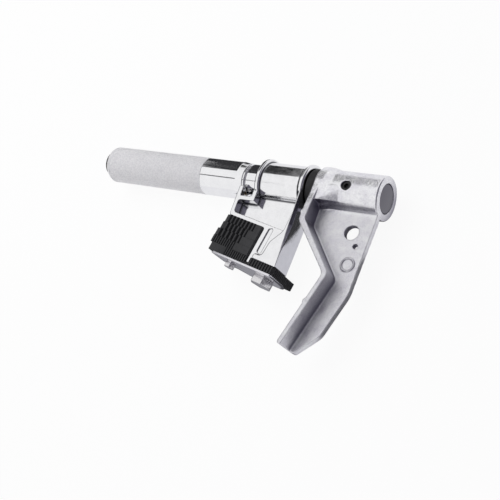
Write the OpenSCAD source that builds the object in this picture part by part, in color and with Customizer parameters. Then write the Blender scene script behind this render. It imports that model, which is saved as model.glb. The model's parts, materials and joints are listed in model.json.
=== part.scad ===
// Screw-operated spreader: a knurled handle drives a padded carriage along a keyed bar,
// away from a cast jaw that is pinned to the far end of the same bar.
// Working frame: x runs along the bar, the arms hang towards -y, and +z is the front.

/* [Bar] */
// Diameter of the bar
bar_d = 24; // [23.6:0.1:24.4]
// How far the bar's end sits inside the hub's end face
bar_recess = 0.6; // [0.2:0.2:1]
// Pitch of the trapezoidal thread
thread_pitch = 5; // [4:1:6]
// Depth of the thread
thread_depth = 2.4; // [2:0.1:2.6]
// Width of the keyway along the back of the bar
keyway_w = 6; // [5:0.5:7]
// Depth of the keyway
keyway_depth = 3.5; // [3:0.1:4]
// Travel of the carriage
travel = 60; // [50:1:60]

/* [Fixed jaw] */
// Diameter of the hub
hub_d = 36; // [35:0.5:37]
// Length of the hub
hub_len = 57; // [56:0.5:58]
// Diameter of the raised collar at the hub's inner end
collar_d = 39; // [38:0.5:40]
// Distance from the bar's axis to the tip of the jaw
jaw_reach = 137.2; // [136:0.2:139]
// Thickness of the jaw's web
web_t = 6; // [5:0.5:7]
// Thickness of the rib along the working edge
rib_t = 5.2; // [4.5:0.1:6]
// Height of the rib above the back of the web
rib_h = 22.8; // [21:0.2:24]
// Diameter of the large hole in the web
large_hole_d = 12; // [10:0.5:14]
// Diameter of the small hole in the web
small_hole_d = 4; // [3:0.5:5]
// Diameter of the set screw
set_screw_d = 8; // [6:1:8]

/* [Carriage] */
// Diameter of the carriage's barrel
barrel_d = 36; // [35:0.5:37]
// Diameter of the flange next to the handle
left_flange_d = 41.2; // [40:0.2:42]
// Diameter of the flange next to the fixed jaw
right_flange_d = 40; // [39:0.2:41]
// Height of the thin web's front face
floor_z = 7.3; // [6.5:0.1:8]
// Height of the front frame round the pocket
frame_z = 15.8; // [15:0.1:16.4]
// Height of the raised rim on the right side
rim_z = 17.5; // [16.6:0.1:17.8]
// Thickness of the frame's bands
band_t = 3.6; // [3:0.1:4]

/* [Pads] */
// Tilt of the sole against the bar, in degrees
pad_tilt = 10.9; // [9:0.1:12]
// Length of the sole pad
sole_len = 67; // [66:0.5:68]
// Thickness of the sole pad
sole_t = 6.6; // [6.2:0.1:7]
// Front face of the pads
pad_front = 17; // [16.5:0.1:17.5]
// Thickness of one toothed layer
layer_t = 6.6; // [6.4:0.1:6.6]
// Thickness of the clamp plate
plate_t = 2; // [1.5:0.5:3]

/* [Handle] */
// Outer diameter of the handle
handle_d = 32; // [31:0.2:33]
// Wall of the handle tube
handle_wall = 2; // [1.8:0.1:2.2]
// Left end of the handle tube
handle_end = -277; // [-279:0.5:-276]
// Diameter of the captured ring
ring_d = 30; // [29.6:0.2:30.6]

/* [Hidden] */
$fn = 96;

chrome = "gainsboro";
cast = "silver";
black = [0.12, 0.12, 0.13];
bronze = [0.72, 0.55, 0.32];

running = 0.05;
gap = 0.3;
bar_r = bar_d / 2;
hub_r = hub_d / 2;

// Stations along the bar
hub_left = -hub_len;
bumper_left = -65.2;
carriage_right = -65.8;
right_flange_left = -70.6;
wall_left = -67.8;
left_flange_right = -107;
carriage_left = -111;
washer_left = carriage_left - 1.2;
ring_left = -123.4;
groove_left = -125.2;
tube_right = -127;
cone_left = -132.6;
collar_left = -139;
nut_right = collar_left - 1;
nut_len = 12;
bar_left = nut_right - nut_len - travel - 0.8;
thread_right = -125;
thread_left = bar_left + 3;
keyway_left = carriage_left - travel - 4;
keyway_right = hub_left - 3;
plug_face = handle_end - 3.5;

// Handle
handle_r = handle_d / 2;
handle_bore_r = handle_r - handle_wall;
ring_r = ring_d / 2;
groove_r = 13.4;
end_radius = 5;
end_wall = 4;
plug_head_r = 11;
plug_edge_r = 1;
plug_stem_r = 8;
plug_stem_len = 8;

// Sole: its top right corner, and how the pads lie from it
sole_x = -66;
sole_y = -76;
pad_back = -left_flange_d / 2;
layer_lefts = [-69.2, -69.9, -68, -67];
layer_right = -28.2;
layer_count = len(layer_lefts);
stack_top = layer_count * layer_t + 0.2;
leg_left = layer_right + gap;
leg_tip_w = 2.6;
leg_tip_z = 11.6;
leg_tip_depth = 4.4;
tongue_left = -58;
web_back = -1;
bolt_x = -17.3;
bolt_z = -3;
bolt_r = 5;
bolt_head_w = 17;
bolt_head_t = 6.4;
bolt_depth = 20;
pad_screw_x = -49;
pad_screw_z = (web_back + floor_z) / 2;
pad_screw_r = 2.5;
pad_screw_depth = 16;

// The part's own origin: the middle of its footprint, on the surface it rests on
mid_x = plug_face / 2;
mid_y = (left_flange_d / 2 - jaw_reach) / 2;
rest_z = left_flange_d / 2;

// Points of a circular arc that rounds corner b of the path a-b-c
function unit(v) = v / norm(v);
function arc_at(c, r, from, turn, steps) =
    [for (i = [0:steps]) c + r * [cos(from + turn * i / steps), sin(from + turn * i / steps)]];
function corner(a, b, c, r) =
    r == 0 ? [b] : let (
        u = unit(a - b),
        w = unit(c - b),
        half = acos(u * w) / 2,
        centre = b + unit(u + w) * r / sin(half),
        first = b + u * r / tan(half) - centre,
        last = b + w * r / tan(half) - centre,
        from = atan2(first.y, first.x),
        turn = (atan2(last.y, last.x) - from + 540) % 360 - 180
    ) arc_at(centre, r, from, turn, 6);
function xy(p) = [p.x, p.y];
function rounded(points) = let (n = len(points)) [for (i = [0:n - 1]) each corner(
    xy(points[(i + n - 1) % n]), xy(points[i]), xy(points[(i + 1) % n]), points[i][2])];

// A point of the tilted pad frame, in the working frame
function from_pads(x, y) = [
    sole_x + x * cos(pad_tilt) + y * sin(pad_tilt),
    sole_y - x * sin(pad_tilt) + y * cos(pad_tilt)];
// Where the line at height y of the pad frame crosses a station x of the working frame
function pad_line_at(x, y) = let (s = (x - sole_x - y * sin(pad_tilt)) / cos(pad_tilt))
    from_pads(s, y).y;

module place() { translate([-mid_x, -mid_y, rest_z]) children(); }
module in_pad_frame() { translate([sole_x, sole_y, 0]) rotate([0, 0, -pad_tilt]) children(); }
// A cylinder along the bar, from station a to station b
module along_bar(a, b, r) { translate([a, 0, 0]) rotate([0, 90, 0]) cylinder(r = r, h = b - a); }
module ring_along_bar(a, b, outer, inner) {
    difference() {
        along_bar(a, b, outer);
        along_bar(a - 1, b + 1, inner);
    }
}
// A profile of [station, radius] points turned about the bar's axis
module turned(profile) {
    rotate([0, 90, 0]) rotate_extrude() polygon([for (p = profile) [p.y, p.x]]);
}
module slab(outline, low, high) {
    translate([0, 0, low]) linear_extrude(high - low) polygon(rounded(outline));
}
// A cylinder that stands along y of the pad frame
module pad_pin(x, z, from, to, r) {
    translate([x, from, z]) rotate([-90, 0, 0]) cylinder(r = r, h = to - from);
}

// ---- Bar and what is fixed to it ----

module thread_grooves() {
    turns = floor((thread_right - thread_left) / thread_pitch);
    for (i = [0:turns - 1]) let (x = thread_left + (i + 0.5) * thread_pitch) turned([
        [x - thread_pitch * 0.32, bar_r + 0.1],
        [x - thread_pitch * 0.18, bar_r - thread_depth],
        [x + thread_pitch * 0.18, bar_r - thread_depth],
        [x + thread_pitch * 0.32, bar_r + 0.1]]);
}

module bar() {
    color("slategray") place() difference() {
        turned([[bar_left, 0], [bar_left, bar_r - 1], [bar_left + 1, bar_r],
            [-bar_recess - 0.8, bar_r], [-bar_recess, bar_r - 0.8], [-bar_recess, 0]]);
        thread_grooves();
        translate([keyway_left, -keyway_w / 2, -bar_r - 1])
            cube([keyway_right - keyway_left, keyway_w, keyway_depth + 1]);
        along_bar(bar_left - 1, bar_left + 16, 3);
    }
}

module stop_washer() {
    color(chrome) place() ring_along_bar(bar_left - 3, bar_left, 13.4, 3.2);
}

module stop_screw() {
    color(black) place() {
        along_bar(bar_left - 3, bar_left + 14, 3);
        difference() {
            along_bar(bar_left - 9, bar_left - 3, 5);
            translate([bar_left - 10, 0, 0]) rotate([0, 90, 0]) cylinder(d = 5.8, h = 4, $fn = 6);
        }
    }
}

// Plan of the jaw, from the hub down to the tip and back up
jaw_outline = [[-56.5, 0, 0], [-56.5, -36, 6], [-21.2, -75.5, 7], [-39.9, -134.7, 2],
    [-32.2, -jaw_reach, 3], [-15.4, -119.8, 14], [-3.4, -84, 30], [-2.4, -62, 60],
    [-0.3, -24, 20], [0, 0, 0]];
// The part of the plan that is thinned down to the web, leaving the rib along the left edge
jaw_pocket = [[-56.5 + rib_t, 20, 0], [-56.5 + rib_t, -34, 4], [-16.8, -74.6, 6],
    [-37.8, -jaw_reach - 4, 0], [20, -jaw_reach - 4, 0], [20, 20, 0]];
large_hole = [-17.3, -33.9];
small_hole = [-10.6, -44.7];
disc_mark = [-11.7, -60.4];
set_screw_x = -29;

// The rib runs down from the collar to its full height
module rib_height() {
    translate([-70, 0, 0]) rotate([90, 0, 90]) linear_extrude(80) polygon([
        [0, -1], [0, 19.3], [-12, 20.2], [-20, 21.7], [-32, rib_h],
        [-jaw_reach - 1, rib_h], [-jaw_reach - 1, -1]]);
}

module fixed_jaw() {
    color(cast) place() difference() {
        union() {
            turned([[hub_left, 0], [hub_left, collar_d / 2 - 1], [hub_left + 1, collar_d / 2],
                [hub_left + 8, collar_d / 2], [hub_left + 15, hub_r], [-1, hub_r], [0, hub_r - 1],
                [0, 0]]);
            difference() {
                intersection() {
                    slab(jaw_outline, 0, rib_h);
                    rib_height();
                }
                slab(jaw_pocket, web_t, rib_h + 1);
            }
            translate([disc_mark.x, disc_mark.y, web_t - 0.5]) difference() {
                cylinder(r = 5.6, h = 0.9);
                cylinder(r = 4.9, h = 2);
            }
        }
        along_bar(hub_left - 1, 1, bar_r);
        translate([set_screw_x, 0, 0]) cylinder(d = set_screw_d, h = 30);
        translate([large_hole.x, large_hole.y, -1]) cylinder(d = large_hole_d, h = 10);
        translate([small_hole.x, small_hole.y, -1]) cylinder(d = small_hole_d, h = 10);
    }
}

module jaw_set_screw() {
    color(black) place() translate([set_screw_x, 0, bar_r]) difference() {
        cylinder(d = set_screw_d, h = 4.4);
        translate([0, 0, 1.6]) cylinder(d = 4.6, h = 4, $fn = 6);
    }
}

module bumper_ring() {
    color(black) place() ring_along_bar(bumper_left, hub_left, 17, bar_r);
}

// ---- Carriage ----

// Plan of the full-height frame: the pocket's surround on the left, the leg on the right
frame_outline = [[-125.5, -19.5, 2], [carriage_left, -19.5, 1], [carriage_left, -8, 0],
    [carriage_right, -8, 0], [carriage_right, pad_line_at(carriage_right, 0), 0],
    concat(from_pads(leg_left, 0), 0), concat(from_pads(leg_left, stack_top), 2),
    [-125.5, pad_line_at(-125.5, stack_top), 2]];
// The pocket in the front of the frame
pocket_outline = [[-125.5 + band_t, -19.5 - band_t, 2], [left_flange_right, -19.5 - band_t, 1],
    [left_flange_right, -8, 0], [wall_left, -8, 0], [wall_left, -33, 12],
    concat(from_pads(-9.6, stack_top + band_t), 2),
    [-125.5 + band_t, pad_line_at(-125.5 + band_t, stack_top + band_t), 2]];
// The thin tongue that the toothed layers straddle
tongue_outline = [concat(from_pads(tongue_left, stack_top + 1), 0),
    concat(from_pads(leg_left + 0.4, stack_top + 1), 0), concat(from_pads(leg_left + 0.4, 0), 0),
    concat(from_pads(tongue_left, 0), 1)];
// The raised rim: narrow beside the pocket, broad over the bolt's boss
rim_outline = [[carriage_right, -10, 0], [carriage_right, pad_line_at(carriage_right, 0), 0],
    concat(from_pads(-23.6, 0), 0), concat(from_pads(-23.6, 3.8), 1.5),
    concat(from_pads(-16.4, 4.2), 3), concat(from_pads(-15.6, 17.5), 6),
    concat(from_pads(-9.2, 29), 10), [-67.2, -28, 14], [-68.2, -10, 0]];
// The slot beside the pads, square to the sole
slot_half = 2.1;
slot_x = -21.5;
slot_outline = [for (p = [[-1, 0], [1, 0], [1, 1], [-1, 1]]) concat(
    from_pads(slot_x + p.x * slot_half, 5.6 + p.y * 22.6), slot_half - 0.05)];

// The finger that reaches over the handle's ring, with a thin tongue in the ring's groove
module finger() {
    difference() {
        union() {
            slab([[-125.5, -21, 0], [-121.6, -21, 0], [-121.6, -10.5, 1.6], [-125.5, -10.5, 1.6]],
                4, frame_z);
            translate([groove_left + gap, -21, 4])
                cube([ring_left - groove_left - 2 * gap, 10.5, 10]);
        }
        along_bar(-126, groove_left + gap, ring_r + 0.5);
        along_bar(ring_left - gap, -120, ring_r + 0.5);
        along_bar(-126, -120, groove_r + gap);
    }
}

// A flange with its two edges broken
module flange(left, right, radius, edge) {
    turned([[left, 0], [left, radius - edge], [left + edge * 0.7, radius],
        [right - edge * 0.7, radius], [right, radius - edge], [right, 0]]);
}

// The part of the right wall that stands behind the web and grows deeper towards the bar
module wall_behind_web() {
    intersection() {
        slab([[carriage_right - 3, -10, 0], [carriage_right, -10, 0],
            [carriage_right, pad_line_at(carriage_right, 0), 0],
            [carriage_right - 3, pad_line_at(carriage_right - 3, 0), 0]], -10, 0);
        translate([carriage_right - 4, 0, 0]) rotate([90, 0, 90]) linear_extrude(5)
            polygon([[-5, 1], [-5, -8], [-37, -7.1], [-80, -3.2], [-80, 1]]);
    }
}

// The broken front edge of the right wall, which fades out towards the sole
module rim_chamfer() {
    profile = [[-66.9, 18], [-64.2, 18], [-64.2, 9], [-64.6, 9]];
    translate([0, -44, 0]) rotate([90, 0, 0]) translate([0, 0, -36])
        linear_extrude(36) polygon(profile);
    translate([0, -44, 0]) rotate([90 - 8, 0, 0]) linear_extrude(60) polygon(profile);
}

module carriage() {
    shelf_back = pad_back + 1.6;
    color(chrome) place() difference() {
        union() {
            along_bar(carriage_left, carriage_right, barrel_d / 2);
            flange(carriage_left, left_flange_right, left_flange_d / 2, 1);
            flange(right_flange_left, carriage_right, right_flange_d / 2, 1.6);
            difference() {
                slab(frame_outline, web_back, frame_z);
                slab(pocket_outline, floor_z, frame_z + 1);
                slab(slot_outline, frame_z - 3, frame_z + 1);
            }
            slab(tongue_outline, web_back, floor_z);
            slab(rim_outline, floor_z, rim_z);
            wall_behind_web();
            finger();
            in_pad_frame() {
                translate([leg_left, -leg_tip_depth, leg_tip_z])
                    cube([leg_tip_w, leg_tip_depth + 0.6, frame_z - leg_tip_z]);
                translate([-64, stack_top, shelf_back]) cube([39, band_t, -shelf_back]);
                translate([-48, stack_top, shelf_back]) rotate([90, 0, 90])
                    linear_extrude(4) polygon([[0, 0], [16, -shelf_back], [0, -shelf_back]]);
                pad_pin(bolt_x, bolt_z, 0, bolt_depth + 3, 9);
            }
        }
        along_bar(carriage_left - 1, carriage_right + 1, bar_r + 1.5);
        translate([-98, -keyway_w / 2 + running, -bar_r - 3.2])
            cube([16, keyway_w - 2 * running, 8]);
        for (x = [-95, -85]) translate([x, 0, -30]) cylinder(r = 1.5, h = 20);
        rim_chamfer();
        in_pad_frame() {
            pad_pin(bolt_x, bolt_z, -1, bolt_depth + 1, bolt_r);
            pad_pin(pad_screw_x, pad_screw_z, -1, pad_screw_depth + 1, pad_screw_r);
        }
    }
}

module bush(left, right) {
    color(bronze) place() ring_along_bar(left, right, bar_r + 1.5, bar_r + running);
}
module bush_left() { bush(carriage_left + 0.5, -98.5); }
module bush_right() { bush(-81.5, carriage_right - 0.5); }

module guide_key() {
    color(cast) place() difference() {
        translate([-98, -keyway_w / 2 + running, -bar_r - 3.2])
            cube([16, keyway_w - 2 * running, keyway_depth + 3.2 - gap]);
        for (x = [-95, -85]) translate([x, 0, -30]) cylinder(r = 1.5, h = 30 - bar_r);
    }
}

module key_screws() {
    color(black) place() for (x = [-95, -85]) translate([x, 0, 0]) difference() {
        translate([0, 0, -17.6]) cylinder(r = 1.5, h = 5.6);
        translate([0, 0, -18.6]) cylinder(d = 1.8, h = 2.4, $fn = 6);
    }
}

module thrust_washer() {
    color(bronze) place() ring_along_bar(washer_left, carriage_left, 14.6, bar_r + gap);
}

// ---- Pads on the carriage ----

module sole_pad() {
    color(black) place() in_pad_frame() difference() {
        translate([-sole_len, -sole_t, pad_back]) cube([sole_len, sole_t, pad_front - pad_back]);
        translate([leg_left - gap, -leg_tip_depth - gap, leg_tip_z - gap])
            cube([leg_tip_w + 2 * gap, 10, 10]);
        pad_pin(bolt_x, bolt_z, -sole_t - 1, 1, bolt_r);
        pad_pin(pad_screw_x, pad_screw_z, -sole_t - 1, 1, pad_screw_r);
    }
}

// One toothed layer: a pad that straddles the carriage's tongue from the left
module grip_layer(index) {
    left = layer_lefts[index - 1];
    color(black) place() in_pad_frame() translate([0, (index - 1) * layer_t, 0]) difference() {
        translate([left, 0, pad_back]) cube([layer_right - left, layer_t, pad_front - pad_back]);
        translate([tongue_left - gap, -1, web_back - gap])
            cube([40, layer_t + 2, floor_z - web_back + 2 * gap]);
    }
}
module grip_layer_1() { grip_layer(1); }
module grip_layer_2() { grip_layer(2); }
module grip_layer_3() { grip_layer(3); }
module grip_layer_4() { grip_layer(4); }

module clamp_plate() {
    plan = [[-0.6, 0.1 - pad_front, 1], [-62.6, 0.1 - pad_front, 1.5], [-60, 1, 6],
        [-38, 16.6, 8], [-0.6, 16.6, 9]];
    color(chrome) place() in_pad_frame() difference() {
        translate([0, -sole_t, 0]) rotate([90, 0, 0]) linear_extrude(plate_t)
            polygon(rounded([for (p = plan) [p.x, -p.y, p[2]]]));
        pad_pin(bolt_x, bolt_z, -sole_t - plate_t - 1, 0, bolt_r);
        pad_pin(pad_screw_x, pad_screw_z, -sole_t - plate_t - 1, 0, pad_screw_r);
    }
}

plate_face = -sole_t - plate_t;

module hex_bolt() {
    color(chrome) place() in_pad_frame() {
        pad_pin(bolt_x, bolt_z, plate_face, bolt_depth, bolt_r);
        translate([bolt_x, plate_face - bolt_head_t, bolt_z]) rotate([-90, 0, 0])
            cylinder(d = bolt_head_w / cos(30), h = bolt_head_t, $fn = 6);
    }
}

module pad_screw() {
    color(chrome) place() in_pad_frame() {
        pad_pin(pad_screw_x, pad_screw_z, plate_face, pad_screw_depth, pad_screw_r);
        translate([pad_screw_x, plate_face - 4, pad_screw_z]) rotate([-90, 0, 0])
            cylinder(d = 8 / cos(30), h = 4, $fn = 6);
    }
}

// ---- Handle ----

// The dowel that locks the nut in the tube, on the back of the handle
module dowel(from, to) {
    translate([nut_right - nut_len / 2, 0, -to]) cylinder(r = 1.25, h = to - from);
}

module handle_tube() {
    corner_arc = [for (a = [0:15:90])
        [handle_end + end_radius * (1 - sin(90 - a)), handle_r - end_radius * (1 - sin(a))]];
    profile = concat([[handle_end, plug_stem_r]], corner_arc,
        [[cone_left, handle_r], [tube_right, ring_r], [tube_right, handle_bore_r],
        [handle_end + end_wall, handle_bore_r], [handle_end + end_wall, plug_stem_r]]);
    color(chrome) place() difference() {
        turned(profile);
        dowel(bar_r, handle_r + 1);
    }
}

// The collar that closes the tube, with the captured ring and its groove
module handle_collar() {
    bore = bar_r + running;
    color(chrome) place() turned([[collar_left, bore], [collar_left, handle_bore_r],
        [tube_right, handle_bore_r], [tube_right, ring_r - 0.1], [groove_left, ring_r - 0.1],
        [groove_left, groove_r], [ring_left, groove_r], [ring_left, ring_r],
        [washer_left - gap - 0.8, ring_r], [washer_left - gap, ring_r - 0.8],
        [washer_left - gap, bore]]);
}

module drive_nut() {
    color(bronze) place() difference() {
        ring_along_bar(nut_right - nut_len, nut_right, handle_bore_r, bar_r + running);
        dowel(bar_r + 0.8, handle_r);
    }
}

module nut_pin() {
    color(cast) place() dowel(bar_r + 0.8, handle_r - 0.2);
}

module handle_end_plug() {
    edge = [for (a = [90:-30:0]) [plug_face + plug_edge_r * (1 - sin(a)),
        plug_head_r - plug_edge_r * (1 - cos(a))]];
    color(black) place() turned(concat([[plug_face, 0]], edge, [[handle_end, plug_head_r],
        [handle_end, plug_stem_r], [handle_end + plug_stem_len, plug_stem_r],
        [handle_end + plug_stem_len, 0]]));
}

bar();
stop_washer();
stop_screw();
fixed_jaw();
jaw_set_screw();
bumper_ring();
carriage();
bush_left();
bush_right();
guide_key();
key_screws();
thrust_washer();
sole_pad();
grip_layer_1();
grip_layer_2();
grip_layer_3();
grip_layer_4();
clamp_plate();
hex_bolt();
pad_screw();
handle_tube();
handle_collar();
drive_nut();
nut_pin();
handle_end_plug();
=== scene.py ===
"""Hand screw spreader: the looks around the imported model. Metres, in the model's own frame."""
import json
import math

import bmesh
import bpy
from mathutils import Matrix, Vector


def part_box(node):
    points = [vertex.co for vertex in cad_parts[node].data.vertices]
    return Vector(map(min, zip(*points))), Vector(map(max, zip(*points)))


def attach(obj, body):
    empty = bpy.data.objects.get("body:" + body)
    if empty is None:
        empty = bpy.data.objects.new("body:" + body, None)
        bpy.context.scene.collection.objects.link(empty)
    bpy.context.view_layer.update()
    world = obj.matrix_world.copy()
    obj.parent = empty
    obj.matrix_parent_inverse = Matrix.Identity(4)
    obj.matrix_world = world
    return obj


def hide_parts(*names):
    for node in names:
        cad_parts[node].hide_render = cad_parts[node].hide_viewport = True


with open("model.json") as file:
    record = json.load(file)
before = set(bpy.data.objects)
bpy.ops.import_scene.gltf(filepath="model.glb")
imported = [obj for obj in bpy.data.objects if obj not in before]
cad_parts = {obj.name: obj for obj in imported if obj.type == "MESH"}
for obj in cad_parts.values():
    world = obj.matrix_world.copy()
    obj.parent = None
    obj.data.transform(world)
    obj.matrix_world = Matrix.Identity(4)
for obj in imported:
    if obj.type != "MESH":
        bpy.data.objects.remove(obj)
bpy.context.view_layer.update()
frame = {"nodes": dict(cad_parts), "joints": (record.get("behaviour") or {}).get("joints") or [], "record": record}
NODES = frame["nodes"]
BODY_OF = {n: b for b, ns in frame["record"]["behaviour"]["bodies"].items() for n in ns}
SLOT_OF = {s["node"]: s["material_slot"] for s in frame["record"]["subparts"]}
MM = 0.001

# ---------------------------------------------------------------- places, from the frame

HANDLE_HINGE = next(j for j in frame["joints"] if j["name"] == "handle_turn")
AXIS_Y, AXIS_Z = HANDLE_HINGE["pos_m"][1], HANDLE_HINGE["pos_m"][2]
HUB_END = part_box("fixed_jaw")[1].x
PAD_TILT = math.radians(10.9)


def bar_point(x, y, z):
    """A point given in millimetres from the bar's axis at the hub's end face."""
    return Vector((HUB_END + x * MM, AXIS_Y + y * MM, AXIS_Z + z * MM))


PAD_FRAME = Matrix.Translation(bar_point(-66, -76, 0)) @ Matrix.Rotation(-PAD_TILT, 4, "Z")

# ---------------------------------------------------------------- camera

CAMERA_TARGET = bar_point(-104.71, -59.93, 0)
CAMERA_BACK = Vector((0.54008, -0.26199, 0.79979))
CAMERA_RIGHT = Vector((0.82935, 0.32731, -0.45282))
CAMERA_UP = Vector((-0.14315, 0.90787, 0.39406))
CAMERA_DISTANCE = 0.82746
CAMERA_LENS = 73.03


def add_camera():
    data = bpy.data.cameras.new("camera")
    data.lens = CAMERA_LENS
    data.sensor_width = 36
    data.clip_start = 0.01
    camera = bpy.data.objects.new("camera", data)
    bpy.context.scene.collection.objects.link(camera)
    turn = Matrix((CAMERA_RIGHT, CAMERA_UP, CAMERA_BACK)).transposed().to_4x4()
    camera.matrix_world = Matrix.Translation(CAMERA_TARGET + CAMERA_BACK * CAMERA_DISTANCE) @ turn
    bpy.context.scene.camera = camera


add_camera()

# ---------------------------------------------------------------- small tools


def add_mesh(name, vertices, faces, smooth=False):
    mesh = bpy.data.meshes.new(name)
    mesh.from_pydata([tuple(v) for v in vertices], [], [tuple(f) for f in faces])
    mesh.update()
    mesh.shade_smooth() if smooth else mesh.shade_flat()
    obj = bpy.data.objects.new(name, mesh)
    bpy.context.scene.collection.objects.link(obj)
    return obj


def settle(obj):
    """Puts the object's modifiers into its mesh."""
    graph = bpy.context.evaluated_depsgraph_get()
    mesh = bpy.data.meshes.new_from_object(obj.evaluated_get(graph))
    obj.modifiers.clear()
    obj.data = mesh


def piece(obj, node, material):
    """The piece stands for a CAD node: same body, and its own material."""
    obj.data.materials.clear()
    obj.data.materials.append(material)
    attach(obj, BODY_OF[node])
    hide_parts(node)


def copy_of(node, name):
    obj = bpy.data.objects.new(name, NODES[node].data.copy())
    bpy.context.scene.collection.objects.link(obj)
    mesh = bmesh.new()
    mesh.from_mesh(obj.data)
    bmesh.ops.remove_doubles(mesh, verts=mesh.verts, dist=2e-6)
    mesh.to_mesh(obj.data)
    mesh.free()
    return obj


def fill(obj, points):
    """Adds the convex hull of some points to a mesh."""
    mesh = bmesh.new()
    mesh.from_mesh(obj.data)
    bmesh.ops.convex_hull(mesh, input=[mesh.verts.new(p) for p in points])
    mesh.to_mesh(obj.data)
    mesh.free()


def cast_copy(node, name, voxel, fillet=()):
    """A copy of a CAD node with every edge rounded over, as on a casting."""
    obj = copy_of(node, name)
    if fillet:
        fill(obj, fillet)
    remesh = obj.modifiers.new("remesh", "REMESH")
    remesh.mode = "VOXEL"
    remesh.voxel_size = voxel
    settle(obj)
    smooth = obj.modifiers.new("smooth", "SMOOTH")
    smooth.factor = 0.5
    smooth.iterations = SMOOTHING
    settle(obj)
    obj.data.shade_smooth()
    return obj


def bevelled_copy(node, name, width, segments=3, angle=30):
    """A copy of a CAD node with its sharp edges broken, as on a turned or milled piece."""
    obj = copy_of(node, name)
    mesh = bmesh.new()
    mesh.from_mesh(obj.data)
    bmesh.ops.dissolve_limit(mesh, angle_limit=math.radians(0.5), verts=mesh.verts, edges=mesh.edges)
    mesh.to_mesh(obj.data)
    mesh.free()
    bevel = obj.modifiers.new("bevel", "BEVEL")
    bevel.width = width
    bevel.segments = segments
    bevel.limit_method = "ANGLE"
    bevel.angle_limit = math.radians(angle)
    bevel.harden_normals = True
    obj.data.shade_smooth()
    settle(obj)
    return obj


# ---------------------------------------------------------------- materials


class Nodes:
    """A few short calls for building a material."""

    def __init__(self, name):
        self.material = bpy.data.materials.new(name)
        self.material.use_nodes = True
        self.tree = self.material.node_tree
        self.shader = self.tree.nodes["Principled BSDF"]
        self.place = self.tree.nodes.new("ShaderNodeTexCoord").outputs["Object"]

    def put(self, **values):
        for key, value in values.items():
            self.shader.inputs[key.replace("_", " ")].default_value = value

    def link(self, out, socket):
        self.tree.links.new(out, socket)

    def noise(self, scale, detail=3.0, rough=0.55, stretch=(1, 1, 1)):
        mapping = self.tree.nodes.new("ShaderNodeMapping")
        mapping.inputs["Scale"].default_value = stretch
        self.link(self.place, mapping.inputs["Vector"])
        node = self.tree.nodes.new("ShaderNodeTexNoise")
        node.inputs["Scale"].default_value = scale
        node.inputs["Detail"].default_value = detail
        node.inputs["Roughness"].default_value = rough
        self.link(mapping.outputs["Vector"], node.inputs["Vector"])
        return node.outputs["Fac"]

    def ramp(self, value, stops):
        node = self.tree.nodes.new("ShaderNodeValToRGB")
        elements = node.color_ramp.elements
        while len(elements) < len(stops):
            elements.new(0.5)
        for element, (position, colour) in zip(elements, stops):
            element.position = position
            shade = colour if isinstance(colour, tuple) else (colour, colour, colour)
            element.color = (*shade, 1)
        self.link(value, node.inputs["Fac"])
        return node.outputs["Color"]

    def math(self, operation, a, b=0.0):
        node = self.tree.nodes.new("ShaderNodeMath")
        node.operation = operation
        for socket, value in zip(node.inputs, (a, b)):
            if isinstance(value, (int, float)):
                socket.default_value = value
            else:
                self.link(value, socket)
        return node.outputs["Value"]

    def blend(self, factor, a, b):
        node = self.tree.nodes.new("ShaderNodeMix")
        node.data_type = "RGBA"
        self.link(factor, node.inputs[0])
        for socket, value in ((node.inputs[6], a), (node.inputs[7], b)):
            if isinstance(value, tuple):
                socket.default_value = (*value, 1)
            else:
                self.link(value, socket)
        return node.outputs[2]

    def bump(self, height, strength, distance, after=None):
        node = self.tree.nodes.new("ShaderNodeBump")
        node.inputs["Strength"].default_value = strength
        node.inputs["Distance"].default_value = distance
        self.link(height, node.inputs["Height"])
        if after is not None:
            self.link(after, node.inputs["Normal"])
        return node.outputs["Normal"]

    def edges(self, low, high):
        """1 on convex edges, 0 elsewhere."""
        geometry = self.tree.nodes.new("ShaderNodeNewGeometry")
        return self.ramp(geometry.outputs["Pointiness"], [(low, 0.0), (high, 1.0)])

    def corners(self, low, high):
        """1 in concave corners, 0 elsewhere."""
        geometry = self.tree.nodes.new("ShaderNodeNewGeometry")
        return self.ramp(geometry.outputs["Pointiness"], [(low, 1.0), (high, 0.0)])

    def hollows(self, reach, low, high):
        """1 deep in a hollow, 0 in the open."""
        node = self.tree.nodes.new("ShaderNodeAmbientOcclusion")
        node.inputs["Distance"].default_value = reach
        node.samples = 8
        return self.ramp(node.outputs["AO"], [(low, 1.0), (high, 0.0)])

    def walls(self, low, high):
        """1 on faces that stand along z, 0 on those that look along it."""
        split = self.tree.nodes.new("ShaderNodeSeparateXYZ")
        self.link(self.tree.nodes["Texture Coordinate"].outputs["Normal"], split.inputs[0])
        return self.ramp(self.math("ABSOLUTE", split.outputs["Z"]), [(low, 1.0), (high, 0.0)])

    def over(self, low, high):
        """0 up to one height in y, 1 from another."""
        split = self.tree.nodes.new("ShaderNodeSeparateXYZ")
        self.link(self.place, split.inputs[0])
        node = self.tree.nodes.new("ShaderNodeMapRange")
        node.inputs["From Min"].default_value = low
        node.inputs["From Max"].default_value = high
        self.link(split.outputs["Y"], node.inputs["Value"])
        return node.outputs["Result"]


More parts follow.
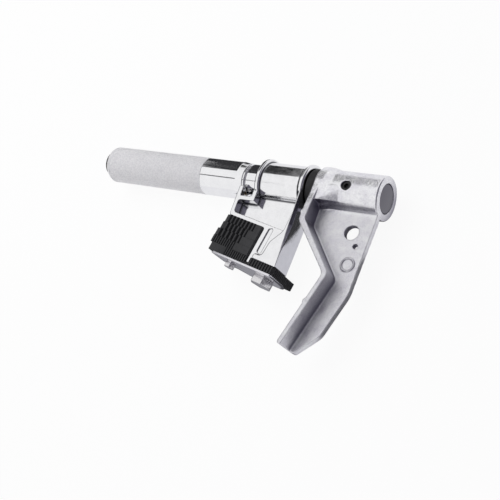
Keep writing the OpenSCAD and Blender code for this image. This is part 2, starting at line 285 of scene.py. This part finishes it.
def cast_aluminium():
    m = Nodes("cast_aluminium")
    grain = m.noise(1500, 4, 0.65)
    blotch = m.noise(110, 5, 0.65)
    patches = m.ramp(blotch, [(0.38, 0.0), (0.62, 1.0)])
    colour = m.blend(patches, (0.88, 0.87, 0.91), (0.98, 0.98, 0.99))
    speck = m.ramp(grain, [(0.38, 0.0), (0.62, 1.0)])
    colour = m.blend(speck, m.blend(patches, (0.66, 0.65, 0.70), (0.88, 0.88, 0.90)), colour)
    # Painted shade: the colour is blended towards a dark tone on walls deep in hollows and along concave corners,
    # where shade falls.
    painted_shade = (0.21, 0.20, 0.26)
    colour = m.blend(m.math("MULTIPLY", m.hollows(0.03, 0.55, 0.97), m.walls(0.3, 0.85)), colour, painted_shade)
    colour = m.blend(m.math("MULTIPLY", m.corners(0.46, 0.495), 0.4), colour, painted_shade)
    m.link(colour, m.shader.inputs["Base Color"])
    m.put(Metallic=0.85)
    as_cast = m.ramp(blotch, [(0.3, 0.38), (0.75, 0.5)])
    machined = m.math("MULTIPLY", m.over(bar_point(0, -22, 0).y, bar_point(0, -15, 0).y), 0.21)
    m.link(m.math("SUBTRACT", as_cast, machined), m.shader.inputs["Roughness"])
    fine = m.bump(grain, 0.35, 0.00012)
    m.link(m.bump(m.noise(260, 3, 0.6), 0.35, 0.0005, fine), m.shader.inputs["Normal"])
    return m.material


def plated_casting():
    m = Nodes("plated_casting")
    waves = m.noise(70, 2, 0.5)
    m.put(Metallic=1.0)
    colour = m.ramp(m.noise(160, 3), [(0.3, (0.86, 0.86, 0.87)), (0.7, (0.92, 0.92, 0.93))])
    # Painted shade: the plating is blended towards near black on walls deep in hollows and along concave corners,
    # where shade falls.
    painted_shade = (0.05, 0.05, 0.06)
    colour = m.blend(m.math("MULTIPLY", m.hollows(0.0022, 0.4, 0.9), m.walls(0.3, 0.85)), colour, painted_shade)
    colour = m.blend(m.math("MULTIPLY", m.corners(0.488, 0.4996), 0.9), colour, painted_shade)
    m.link(colour, m.shader.inputs["Base Color"])
    m.link(m.ramp(m.noise(400, 4), [(0.35, 0.07), (0.7, 0.16)]), m.shader.inputs["Roughness"])
    fine = m.bump(m.noise(1100, 3, 0.6), 0.12, 0.00008)
    m.link(m.bump(waves, 0.1, 0.0006, fine), m.shader.inputs["Normal"])
    return m.material


def handle_chrome():
    m = Nodes("handle_chrome")
    scratches = m.noise(600, 3, 0.6, (0.05, 1, 1))
    m.put(Metallic=1.0)
    m.link(m.ramp(m.noise(120, 3), [(0.3, (0.87, 0.87, 0.885)), (0.7, (0.92, 0.92, 0.93))]),
           m.shader.inputs["Base Color"])
    m.link(m.ramp(scratches, [(0.35, 0.05), (0.7, 0.12)]), m.shader.inputs["Roughness"])
    m.link(m.bump(scratches, 0.04, 0.0001), m.shader.inputs["Normal"])
    return m.material


def knurled_steel():
    m = Nodes("knurled_steel")
    m.put(Metallic=0.3)
    m.link(m.ramp(m.noise(700, 4), [(0.35, (0.84, 0.835, 0.85)), (0.65, (0.98, 0.975, 0.98))]),
           m.shader.inputs["Base Color"])
    m.link(m.ramp(m.noise(900, 3), [(0.3, 0.34), (0.7, 0.48)]), m.shader.inputs["Roughness"])
    m.link(m.bump(m.noise(2500, 2), 0.2, 0.00005), m.shader.inputs["Normal"])
    return m.material


def steel(name, colour, rough, stretch=(1, 1, 1)):
    m = Nodes(name)
    grain = m.noise(700, 4, 0.6, stretch)
    dark = tuple(c * 0.86 for c in colour)
    m.put(Metallic=1.0)
    m.link(m.blend(m.ramp(grain, [(0.3, 0.0), (0.7, 1.0)]), dark, colour), m.shader.inputs["Base Color"])
    m.link(m.ramp(grain, [(0.3, rough), (0.7, rough + 0.12)]), m.shader.inputs["Roughness"])
    m.link(m.bump(grain, 0.12, 0.00008), m.shader.inputs["Normal"])
    return m.material


def rubber(name, colour=(0.021, 0.021, 0.022), rough=0.6):
    m = Nodes(name)
    m.put(Specular_IOR_Level=0.3)
    grain = m.noise(1800, 3, 0.6)
    # The convex edges are lighter: partly rubbed wear, partly a painted highlight where light catches the teeth.
    edge_wear_and_highlight = m.edges(0.52, 0.62)
    dusty, rubbed_and_highlit = (tuple(c * more for c in colour) for more in (1.7, 2.4))
    base = m.blend(m.ramp(m.noise(120, 4), [(0.4, 0.0), (0.8, 1.0)]), colour, dusty)
    m.link(m.blend(edge_wear_and_highlight, base, rubbed_and_highlit), m.shader.inputs["Base Color"])
    wear = m.ramp(m.noise(300, 3), [(0.3, rough - 0.08), (0.7, rough + 0.12)])
    m.link(wear, m.shader.inputs["Roughness"])
    m.link(m.bump(grain, 0.25, 0.00008), m.shader.inputs["Normal"])
    return m.material


CAST = cast_aluminium()
PLATED = plated_casting()
CHROME = handle_chrome()
KNURLED = knurled_steel()
ZINC = steel("zinc_plate", (0.84, 0.83, 0.87), 0.12)
BOLT = steel("zinc_bolt", (0.82, 0.81, 0.82), 0.12)
PLAIN = steel("plain_steel", (0.62, 0.62, 0.64), 0.3)
BRONZE = steel("bronze", (0.62, 0.45, 0.25), 0.3)
BAR_STEEL = steel("bar_steel", (0.17, 0.165, 0.19), 0.28, (0.05, 1, 1))
RUBBER = rubber("pad_rubber")
BUMPER = rubber("bumper_rubber")
PLUG = rubber("plug_plastic", (0.02, 0.02, 0.022), 0.42)


def black_oxide():
    m = Nodes("black_steel")
    m.put(Metallic=0.6)
    m.link(m.ramp(m.noise(900, 3), [(0.3, 0.02), (0.7, 0.05)]), m.shader.inputs["Base Color"])
    m.link(m.ramp(m.noise(500, 3), [(0.3, 0.32), (0.7, 0.5)]), m.shader.inputs["Roughness"])
    m.link(m.bump(m.noise(1500, 2), 0.15, 0.00006), m.shader.inputs["Normal"])
    return m.material


BLACK = black_oxide()
FINISH = {
    "bar_steel": BAR_STEEL, "plain_steel": PLAIN, "black_steel": BLACK, "cast_aluminium": CAST,
    "bumper_rubber": BUMPER, "plated_casting": PLATED, "bronze": BRONZE, "pad_rubber": RUBBER,
    "zinc_plate": ZINC, "zinc_bolt": BOLT, "handle_chrome": CHROME, "plug_plastic": PLUG,
}
for node, slot in SLOT_OF.items():
    NODES[node].data.materials.clear()
    NODES[node].data.materials.append(FINISH[slot])

# ---------------------------------------------------------------- castings

# Sizes of the voxels that the castings are rounded with, in metres
JAW_VOXEL, CARRIAGE_VOXEL = 0.00042, 0.00034
SMOOTHING = 10
# Where the fillet of the hub runs out, and the radius just under the hub's skin
FILLET_END, HUB_SKIN = -33, 17.9
# The slot in the carriage's frame, in the pad frame, and the height of its floor
SLOT_MIDDLE, SLOT_HALF, SLOT_LOW, SLOT_HIGH, SLOT_FLOOR = -21.5, 2.2, 5.4, 28.4, 14.6


def raise_nub(obj, place, radius, height):
    """Lifts a small round bump out of a casting, such as the stub of a gate."""
    for vertex in obj.data.vertices:
        distance = (vertex.co - place).length
        if distance < radius:
            lift = height * (1 - (distance / radius) ** 2) ** 2
            vertex.co += (vertex.co - place + Vector((-radius, 0, radius))).normalized() * lift


def raise_ring(obj, place, radius, width, height):
    """Lifts a plain ring out of a face that looks along z."""
    for vertex in obj.data.vertices:
        away = vertex.co - place
        off = abs(math.hypot(away.x, away.y) - radius) / width
        if off < 1 and abs(away.z) < 1.5 * MM:
            vertex.co.z += height * (1 - off ** 2) ** 2


def hub_fillet():
    """Points round the metal that fills the corner between the hub and the top of the rib."""
    section = ((-15.5, 13), (-15.5, 19.4), (-1, 13), (-1, 19.3))
    rib = [bar_point(x, y, z) for x in (-56.3, -50.8) for y, z in section]
    turns = [math.radians(angle) for angle in range(5, 50, 8)]
    hub = [bar_point(FILLET_END, -HUB_SKIN * math.sin(turn), HUB_SKIN * math.cos(turn)) for turn in turns]
    return rib + hub + [bar_point(FILLET_END, -11, 11)]


def shallow_slot(obj):
    """Lifts the slot's floor in the carriage to where it can be seen."""
    floor = bar_point(0, 0, SLOT_FLOOR).z
    to_pads = PAD_FRAME.inverted()
    for vertex in obj.data.vertices:
        place = to_pads @ vertex.co / MM
        inside = abs(place.x - SLOT_MIDDLE) < SLOT_HALF and SLOT_LOW < place.y < SLOT_HIGH
        if inside and floor - 3 * MM < vertex.co.z < floor:
            vertex.co.z = floor


def cast_jaw():
    obj = cast_copy("fixed_jaw", "cast_jaw", JAW_VOXEL, hub_fillet())
    raise_ring(obj, bar_point(-11.7, -60.4, 6), 5.25 * MM, 0.9 * MM, 0.7 * MM)
    raise_nub(obj, bar_point(-28.3, -99, 21.6), 3 * MM, 1.3 * MM)
    raise_nub(obj, bar_point(-56.2, -28.6, 21.4), 2.6 * MM, 1.1 * MM)
    piece(obj, "fixed_jaw", CAST)


def cast_carriage():
    obj = cast_copy("carriage", "carriage_casting", CARRIAGE_VOXEL)
    shallow_slot(obj)
    piece(obj, "carriage", PLATED)


cast_jaw()
cast_carriage()

# ---------------------------------------------------------------- turned, milled and stamped pieces

for node, width in {"clamp_plate": 0.0004, "hex_bolt": 0.0005, "pad_screw": 0.0004, "bar": 0.0002,
                    "jaw_set_screw": 0.0002, "stop_washer": 0.0003, "stop_screw": 0.0003,
                    "guide_key": 0.0003, "key_screws": 0.0002}.items():
    piece(bevelled_copy(node, node + "_finished", width), node, FINISH[SLOT_OF[node]])

# ---------------------------------------------------------------- toothed rubber pads

PAD_FRONT, PAD_BACK = 17.0, -20.6
TOOTH_TOP = 0.34
PAD_EDGE = 0.14


def teeth(start, end, pitch, depth, lean=0.0):
    """Points (along, inward) of a row of blunt teeth from start to end, in millimetres."""
    count = max(1, round(abs(end - start) / pitch))
    step = (end - start) / count
    points = []
    for k in range(count):
        foot = start + k * step
        points += [(foot, depth), (foot + step * (0.16 + lean), 0.0),
                   (foot + step * (0.16 + lean + TOOTH_TOP), 0.0), (foot + step * 0.84, depth)]
    return points


def prism(name, outline, low, high):
    """Extrudes an outline of (x, z) along y of the pad frame, with its two rims broken."""
    points = [Vector((x, z)) for x, z in outline]
    count = len(points)
    turn = sum(a.x * b.y - a.y * b.x for a, b in zip(points, points[1:] + points[:1]))
    inner = []
    for k in range(count):
        before = (points[k] - points[k - 1]).normalized()
        after = (points[(k + 1) % count] - points[k]).normalized()
        normal = Vector((-before.y - after.y, before.x + after.x))
        if turn < 0:
            normal = -normal
        inner.append(points[k] + normal.normalized() * PAD_EDGE if normal.length > 0.1 else points[k])
    rings = ((low, inner), (low + PAD_EDGE, points), (high - PAD_EDGE, points), (high, inner))
    vertices, faces = [], []
    for y, ring in rings:
        vertices += [PAD_FRAME @ (Vector((p.x, y, p.y)) * MM) for p in ring]
    for r in range(3):
        for k in range(count):
            a, b = r * count + k, r * count + (k + 1) % count
            faces.append((a, b, b + count, a + count))
    faces.append(tuple(range(count - 1, -1, -1)))
    faces.append(tuple(range(3 * count, 4 * count)))
    obj = add_mesh(name, vertices, faces)
    mesh = bmesh.new()
    mesh.from_mesh(obj.data)
    bmesh.ops.recalc_face_normals(mesh, faces=mesh.faces)
    bmesh.ops.triangulate(mesh, faces=[f for f in mesh.faces if len(f.verts) > 4])
    mesh.to_mesh(obj.data)
    mesh.free()
    return obj


def cut(obj, cutter):
    """Takes a closed mesh away from another one."""
    boolean = obj.modifiers.new("cut", "BOOLEAN")
    boolean.operation = "DIFFERENCE"
    boolean.solver = "EXACT"
    boolean.object = cutter
    settle(obj)
    bpy.data.objects.remove(cutter)
    obj.data.shade_flat()


LAYER_T = 6.6
LAYER_RIGHT = -28.2
FRONT_CHAMFER, BACK_CHAMFER = 1.2, 1.0
# How deep the teeth on a layer's back are, as a share of those on its front
BACK_TOOTH_SHARE = 0.6
TONGUE_END, TONGUE_LOW, TONGUE_HIGH = -58.3, -1.3, 7.6
# For each layer: its left end, the pitch and the depth of its teeth, where they stop, their start
LAYERS = ((-69.2, 2.3, 0.9, -45.5, 0.0), (-69.9, 4.6, 1.8, -42.5, 0.0),
          (-68.0, 3.9, 1.8, -40.0, 1.9), (-67.0, 3.7, 1.6, -36.0, 0.0))


def grip_layer(number, left, pitch, depth, stop, shift):
    front_teeth = teeth(stop, left + depth + shift, pitch, depth, lean=0.08)
    end_teeth = teeth(PAD_FRONT - depth, PAD_BACK + depth, pitch, depth)
    back_teeth = teeth(left + depth, stop, pitch, depth * BACK_TOOTH_SHARE)
    outline = [(LAYER_RIGHT, PAD_FRONT - FRONT_CHAMFER), (LAYER_RIGHT - FRONT_CHAMFER, PAD_FRONT)]
    outline += [(stop + 0.6, PAD_FRONT)]
    outline += [(x, PAD_FRONT - inward) for x, inward in front_teeth]
    outline += [(left + inward, z) for z, inward in end_teeth]
    outline += [(x, PAD_BACK + inward) for x, inward in back_teeth]
    outline += [(LAYER_RIGHT - BACK_CHAMFER, PAD_BACK), (LAYER_RIGHT, PAD_BACK + BACK_CHAMFER),
                (LAYER_RIGHT, TONGUE_LOW), (TONGUE_END, TONGUE_LOW), (TONGUE_END, TONGUE_HIGH),
                (LAYER_RIGHT, TONGUE_HIGH)]
    low = (number - 1) * LAYER_T
    node = "grip_layer_%d" % number
    piece(prism("toothed_layer_%d" % number, outline, low, low + LAYER_T), node, RUBBER)


SOLE_LEFT, SOLE_T, SOLE_CHAMFER = -67.0, 6.6, 1.0
# The sole's front has no teeth to the left of this
SOLE_TEETH_LEFT = -50.0
NOTCH_LEFT, NOTCH_RIGHT, NOTCH_DEPTH, NOTCH_BACK = -28.2, -25.0, 4.7, 11.3
BOLT_X, BOLT_Z, BOLT_R = -17.3, -3.0, 5.0
SCREW_X, SCREW_Z, SCREW_R = -49.0, 3.15, 2.5


def round_outline(x, z, radius, steps=48):
    return [(x + radius * math.cos(2 * math.pi * k / steps), z + radius * math.sin(2 * math.pi * k / steps))
            for k in range(steps)]


def sole_pad():
    front_teeth = teeth(-FRONT_CHAMFER, NOTCH_RIGHT, 2.75, 0.85)
    front_teeth += teeth(NOTCH_LEFT - 0.2, SOLE_TEETH_LEFT, 2.2, 0.75)
    end_teeth = teeth(PAD_BACK + SOLE_CHAMFER, PAD_FRONT - FRONT_CHAMFER, 2.6, 0.7)
    outline = [(x, PAD_FRONT - inward) for x, inward in front_teeth]
    outline += [(SOLE_TEETH_LEFT - 0.6, PAD_FRONT), (SOLE_LEFT + SOLE_CHAMFER, PAD_FRONT),
                (SOLE_LEFT, PAD_FRONT - SOLE_CHAMFER), (SOLE_LEFT, PAD_BACK + SOLE_CHAMFER),
                (SOLE_LEFT + SOLE_CHAMFER, PAD_BACK), (-SOLE_CHAMFER, PAD_BACK)]
    outline += [(-inward, z) for z, inward in end_teeth]
    obj = prism("toothed_sole", outline, -SOLE_T, 0)
    notch = [(NOTCH_LEFT, NOTCH_BACK), (NOTCH_RIGHT, NOTCH_BACK), (NOTCH_RIGHT, 30), (NOTCH_LEFT, 30)]
    cut(obj, prism("notch", notch, -NOTCH_DEPTH, 5))
    cut(obj, prism("bolt_hole", round_outline(BOLT_X, BOLT_Z, BOLT_R + 0.1), -SOLE_T - 5, 5))
    cut(obj, prism("screw_hole", round_outline(SCREW_X, SCREW_Z, SCREW_R + 0.1), -SOLE_T - 5, 5))
    piece(obj, "sole_pad", RUBBER)


for number, values in enumerate(LAYERS, 1):
    grip_layer(number, *values)
sole_pad()

# ---------------------------------------------------------------- handle

GRIP_LEFT, GRIP_RIGHT = -271.7, -170.2
HANDLE_RADIUS = 16.0
KNURLS_AROUND = 60
KNURL_DEPTH = 0.26
KNURL_FLAT = 0.42


def on_tube(x, radius, angle):
    return bar_point(x, radius * math.cos(angle), radius * math.sin(angle))


def braced(profile, inset=0.25):
    """The same profile with a point near each end of every long side, so that it shades straight."""
    points = []
    for (x1, r1), (x2, r2) in zip(profile, profile[1:]):
        length = math.hypot(x2 - x1, r2 - r1)
        points.append((x1, r1))
        if length > 4 * inset:
            share = inset / length
            points += [(x1 + (x2 - x1) * t, r1 + (r2 - r1) * t) for t in (share, 1 - share)]
    return points + [profile[-1]]


def lathe(name, profile, steps=192):
    """Turns a profile of (station, radius) in millimetres about the bar's axis."""
    vertices, faces = [], []
    profile = braced(profile)
    for x, radius in profile:
        vertices += [on_tube(x, radius, 2 * math.pi * k / steps) for k in range(steps)]
    for i in range(len(profile) - 1):
        for k in range(steps):
            a, b = i * steps + k, i * steps + (k + 1) % steps
            faces.append((a, b, b + steps, a + steps))
    return add_mesh(name, vertices, faces, smooth=True)


def knurled_grip():
    """Rows of blunt diamond pyramids between two plain ends."""
    pitch = 2 * math.pi * HANDLE_RADIUS / KNURLS_AROUND
    rows = round((GRIP_RIGHT - GRIP_LEFT) / pitch)
    step = (GRIP_RIGHT - GRIP_LEFT) / rows
    turn = 2 * math.pi / KNURLS_AROUND
    vertices, faces, index = [], [], {}

    def valley(i, j):
        """A lattice point: i counts half steps along, j half steps around."""
        key = (i, j % (2 * KNURLS_AROUND))
        if key not in index:
            index[key] = len(vertices)
            vertices.append(on_tube(GRIP_LEFT + i * step / 2, HANDLE_RADIUS - KNURL_DEPTH, j * turn / 2))
        return index[key]

    for i in range(1, 2 * rows):
        for j in range(2 * KNURLS_AROUND):
            if (i + j) % 2:
                continue
            ring = [valley(i + 1, j), valley(i, j + 1), valley(i - 1, j), valley(i, j - 1)]
            top = len(vertices)
            for along, around in ((1, 0), (0, 1), (-1, 0), (0, -1)):
                vertices.append(on_tube(GRIP_LEFT + (i + along * KNURL_FLAT) * step / 2, HANDLE_RADIUS,
                                        (j + around * KNURL_FLAT) * turn / 2))
            faces.append((top, top + 1, top + 2, top + 3))
            for k in range(4):
                faces.append((ring[k], ring[(k + 1) % 4], top + (k + 1) % 4, top + k))
    for j in range(1, 2 * KNURLS_AROUND, 2):
        faces.append((valley(0, j), valley(1, j + 1), valley(0, j + 2)))
        faces.append((valley(2 * rows, j + 2), valley(2 * rows - 1, j + 1), valley(2 * rows, j)))
    return vertices, faces


TUBE_END, END_RADIUS, END_WALL, TUBE_BORE, STEM_RADIUS = -277.0, 5.0, 4.0, 14.0, 8.0
TUBE_RIGHT, CONE_LEFT, RING_RADIUS = -127.0, -132.6, 15.0


def arc(x, radius, size, start, end, steps=8):
    """Points of a quarter arc round (x, radius) from one angle to another, in degrees."""
    angles = [math.radians(start + (end - start) * k / steps) for k in range(steps + 1)]
    return [(x + size * math.cos(a), radius + size * math.sin(a)) for a in angles]


def handle():
    """The tube: its rounded nose, a polished shank with the bore, and a knurled grip."""
    root = HANDLE_RADIUS - KNURL_DEPTH
    wall = TUBE_END + END_WALL
    nose = [(wall, TUBE_BORE), (wall, STEM_RADIUS), (TUBE_END, STEM_RADIUS)]
    nose += arc(TUBE_END + END_RADIUS, HANDLE_RADIUS - END_RADIUS, END_RADIUS, 180, 90)
    nose += [(GRIP_LEFT - 0.3, HANDLE_RADIUS), (GRIP_LEFT, root)]
    shank = [(GRIP_RIGHT, root), (GRIP_RIGHT + 0.4, HANDLE_RADIUS), (CONE_LEFT - 0.6, HANDLE_RADIUS),
             (CONE_LEFT, HANDLE_RADIUS - 0.15), (TUBE_RIGHT - 0.3, RING_RADIUS + 0.05),
             (TUBE_RIGHT, RING_RADIUS - 0.2), (TUBE_RIGHT, TUBE_BORE), (wall, TUBE_BORE)]
    return (lathe("handle_nose", nose), lathe("handle_shank", shank),
            add_mesh("knurled_grip", *knurled_grip()))


nose, shank, grip = handle()
piece(grip, "handle_tube", KNURLED)
for part, material in ((nose, KNURLED), (shank, CHROME)):
    part.data.materials.append(material)
    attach(part, "handle")

# ---------------------------------------------------------------- turned rings and the plug

BAR_BORE = 12.05
# A turned end closes at this small radius, in place of a point on the axis
AXIS_RADIUS = 0.01
PLUG_FACE, PLUG_RADIUS, PLUG_EDGE = -280.5, 11.0, 1.0
PLUG_STEM_END = TUBE_END + 8
COLLAR_LEFT, GROOVE_LEFT, RING_LEFT, WASHER_LEFT, WASHER_RIGHT = -139.0, -125.2, -123.4, -112.2, -111.0
COLLAR_RIGHT = WASHER_LEFT - 0.3
BUMPER_LEFT, BUMPER_RIGHT, BUMPER_RADIUS, BUMPER_EDGE = -65.2, -57.0, 17.0, 1.2


def closed_lathe(name, node, material, profile):
    """A turned piece whose profile closes on itself."""
    piece(lathe(name, profile + profile[:1]), node, material)


closed_lathe("turned_collar", "handle_collar", CHROME, [
    (COLLAR_LEFT, BAR_BORE), (COLLAR_LEFT, 13.98), (TUBE_RIGHT, 13.98), (TUBE_RIGHT + 0.02, 14.6),
    (TUBE_RIGHT + 0.3, 14.9), (GROOVE_LEFT - 0.3, 14.9), (GROOVE_LEFT, 14.6), (GROOVE_LEFT, 13.4),
    (RING_LEFT, 13.4), (RING_LEFT, 14.7), (RING_LEFT + 0.3, 15), (COLLAR_RIGHT - 1.1, 15),
    (COLLAR_RIGHT - 0.5, 14.85), (COLLAR_RIGHT - 0.1, 14.4), (COLLAR_RIGHT, 14.0),
    (COLLAR_RIGHT, BAR_BORE)])
closed_lathe("turned_washer", "thrust_washer", BRONZE, [
    (WASHER_LEFT, 12.3), (WASHER_LEFT, 14.4), (WASHER_LEFT + 0.2, 14.6), (WASHER_RIGHT - 0.2, 14.6),
    (WASHER_RIGHT, 14.4), (WASHER_RIGHT, 12.3)])
shoulder = BUMPER_RADIUS - BUMPER_EDGE
closed_lathe("moulded_bumper", "bumper_ring", BUMPER, (
    [(BUMPER_LEFT, 12), (BUMPER_LEFT, shoulder)]
    + arc(BUMPER_LEFT + BUMPER_EDGE, shoulder, BUMPER_EDGE, 180, 90)
    + arc(BUMPER_RIGHT - BUMPER_EDGE, shoulder, BUMPER_EDGE, 90, 0) + [(BUMPER_RIGHT, 12)]))
plug_profile = [(PLUG_FACE, AXIS_RADIUS)]
plug_profile += arc(PLUG_FACE + PLUG_EDGE, PLUG_RADIUS - PLUG_EDGE, PLUG_EDGE, 180, 90)
plug_profile += [(TUBE_END, PLUG_RADIUS), (TUBE_END, STEM_RADIUS), (PLUG_STEM_END, STEM_RADIUS),
                 (PLUG_STEM_END, AXIS_RADIUS)]
piece(lathe("moulded_plug", plug_profile), "handle_end_plug", PLUG)

# ---------------------------------------------------------------- stage and light

FLOOR_WHITE = 0.9
FLOOR_HALF = 3.0
CAMERA_PLACE = CAMERA_TARGET + CAMERA_BACK * CAMERA_DISTANCE
CARD_REACH = 1.3
CARD_LIFT = 0.0004


def stage_mesh(name, corners, faces, material):
    obj = add_mesh(name, corners, faces)
    obj.data.materials.append(material)
    return obj


def floor_material():
    """White to the camera, a little darker in reflections, and it keeps the object's shadow."""
    m = Nodes("floor")
    m.put(Roughness=0.9, Base_Color=(FLOOR_WHITE, FLOOR_WHITE, FLOOR_WHITE, 1))
    path = m.tree.nodes.new("ShaderNodeLightPath")
    surface = m.shader.outputs[0]
    lit = (("Is Glossy Ray", 0.85, (0.88, 0.88, 0.90, 1)), ("Is Camera Ray", 0.93, (1, 1, 1, 1)))
    for seen, share, shade in lit:
        light = m.tree.nodes.new("ShaderNodeEmission")
        light.inputs["Color"].default_value = shade
        mix = m.tree.nodes.new("ShaderNodeMixShader")
        m.link(m.math("MULTIPLY", path.outputs[seen], share), mix.inputs[0])
        m.link(surface, mix.inputs[1])
        m.link(light.outputs[0], mix.inputs[2])
        surface = mix.outputs[0]
    m.link(surface, m.tree.nodes["Material Output"].inputs["Surface"])
    return m.material


def card(name, corners, faces, shade):
    """A studio card that only shows in reflections: it darkens bands of the bright metal."""
    m = Nodes(name)
    light = m.tree.nodes.new("ShaderNodeEmission")
    light.inputs["Color"].default_value = (shade, shade, shade * 1.08, 1)
    m.link(light.outputs[0], m.tree.nodes["Material Output"].inputs["Surface"])
    obj = stage_mesh(name, corners, faces, m.material)
    obj.visible_camera = False
    obj.visible_diffuse = False
    obj.visible_transmission = False
    obj.visible_shadow = False


def floor_card(name, shade, layer, corners):
    """A card on the floor. Where two overlap, the one in the higher layer shows."""
    places = [bar_point(x, y, 0) for x, y in corners]
    card(name, [Vector((p.x, p.y, layer * CARD_LIFT)) for p in places], [tuple(range(len(corners)))], shade)


def mirrored(x, across, radius):
    """Where the camera's ray goes from a polished cylinder on the bar's axis.

    across runs from -1 at the lower outline of the cylinder to 1 at the upper one.
    """
    to_camera = CAMERA_PLACE - bar_point(x, 0, 0)
    front = math.atan2(to_camera.z, to_camera.y)
    normal = Vector((0, math.cos(front - math.asin(across)), math.sin(front - math.asin(across))))
    start = bar_point(x, 0, 0) + normal * radius * MM
    view = (CAMERA_PLACE - start).normalized()
    return start, normal * 2 * normal.dot(view) - view


def band_card(name, stations, radius, low, high, shade, steps=14):
    """A curved card that darkens one band along a stretch of a cylinder."""
    corners = []
    for k in range(steps + 1):
        for x in stations:
            start, direction = mirrored(x, low + (high - low) * k / steps, radius)
            reach = CARD_REACH
            if direction.z < 0:
                reach = min(reach, (start.z - CARD_LIFT) / -direction.z)
            corners.append(start + direction * reach)
    card(name, corners, [(2 * k, 2 * k + 1, 2 * k + 3, 2 * k + 2) for k in range(steps)], shade)


def add_area(name, place, size, radiance, toward):
    data = bpy.data.lights.new(name, "AREA")
    data.shape = "DISK"
    data.size = size
    data.energy = radiance * math.pi * math.pi * size * size / 4
    lamp = bpy.data.objects.new(name, data)
    bpy.context.scene.collection.objects.link(lamp)
    direction = toward - place
    lamp.matrix_world = Matrix.Translation(place) @ direction.to_track_quat("-Z", "Y").to_matrix().to_4x4()
    lamp.visible_glossy = False


def studio_world():
    """A bright tent, dark on the right and at the far left, and white where the camera sees it."""
    world = bpy.data.worlds.new("studio")
    bpy.context.scene.world = world
    world.use_nodes = True
    tree = world.node_tree
    place = tree.nodes.new("ShaderNodeTexCoord")
    split = tree.nodes.new("ShaderNodeSeparateXYZ")
    side = tree.nodes.new("ShaderNodeMapRange")
    side.inputs["From Min"].default_value = -1.0
    ramp = tree.nodes.new("ShaderNodeValToRGB")
    tree.links.new(place.outputs["Generated"], split.inputs[0])
    tree.links.new(split.outputs["X"], side.inputs["Value"])
    tree.links.new(side.outputs["Result"], ramp.inputs["Fac"])
    stops = ((0.125, (0.05, 0.05, 0.06)), (0.175, (0.92, 0.92, 0.925)), (0.50, (0.92, 0.92, 0.925)),
             (0.66, (0.12, 0.115, 0.145)))
    while len(ramp.color_ramp.elements) < len(stops):
        ramp.color_ramp.elements.new(0.5)
    for element, (position, shade) in zip(ramp.color_ramp.elements, stops):
        element.position = position
        element.color = (*shade, 1)
    seen = tree.nodes.new("ShaderNodeMix")
    seen.data_type = "RGBA"
    seen.inputs[7].default_value = (1, 1, 1, 1)
    tree.links.new(tree.nodes.new("ShaderNodeLightPath").outputs["Is Camera Ray"], seen.inputs[0])
    tree.links.new(ramp.outputs["Color"], seen.inputs[6])
    tree.links.new(seen.outputs[2], tree.nodes["Background"].inputs["Color"])
    tree.nodes["Background"].inputs["Strength"].default_value = 1.0


def light_scene():
    studio_world()
    centre = bar_point(-120, -50, 0)
    add_area("key", centre + Vector((-0.45, 0.25, 0.75)), 0.8, 2.3, centre)
    band_card("card_shank", (-172, -106), 16, 0.46, 0.97, 0.035)
    band_card("card_line", (-173, -112), 16, 0.03, 0.08, 0.12, 1)
    band_card("card_barrel", (-107, -66), 17.5, 0.47, 0.86, 0.02)
    band_card("card_hub", (-48, -4), 18, 0.47, 0.79, 0.0)
    floor_card("card_under_jaw", 0.04, 1, [
        (-56, 20), (-52, -33), (-49, -40.4), (-43.9, -44.7), (0, -60), (0, 20)])
    floor_card("card_below_wall", 0.56, 1, [
        (-64, -82), (-20, -82), (-20, -44), (-44, -44.8), (-56, -20)])
    floor_card("card_below_plate", 0.3, 1, [(-175, -66), (-66, -76), (-66, -150), (-175, -150)])
    floor_card("card_beside_bolt", 0.08, 2, [
        (-78, -84), (-66, -79), (-36, -79), (-36, -125), (-72, -125)])
    floor_card("card_below_tip", 0.3, 3, [(-90, -131), (-34, -131), (-34, -180), (-90, -180)])
    floor_card("card_right_of_jaw", 0.1, 1, [
        (-24, -131), (60, -131), (60, -45), (2, -45), (0, -75), (-10, -107)])
    floor_card("card_far_left", 0.05, 1, [
        (-1500, 0), (-190, 0), (-230, 110), (-430, 110), (-430, 700), (-1500, 700)])


floor_corners = [(x * FLOOR_HALF, y * FLOOR_HALF, 0) for x, y in ((-1, -1), (1, -1), (1, 1), (-1, 1))]
stage_mesh("floor", floor_corners, [(0, 1, 2, 3)], floor_material())
light_scene()
bpy.context.scene.view_settings.view_transform = "Standard"
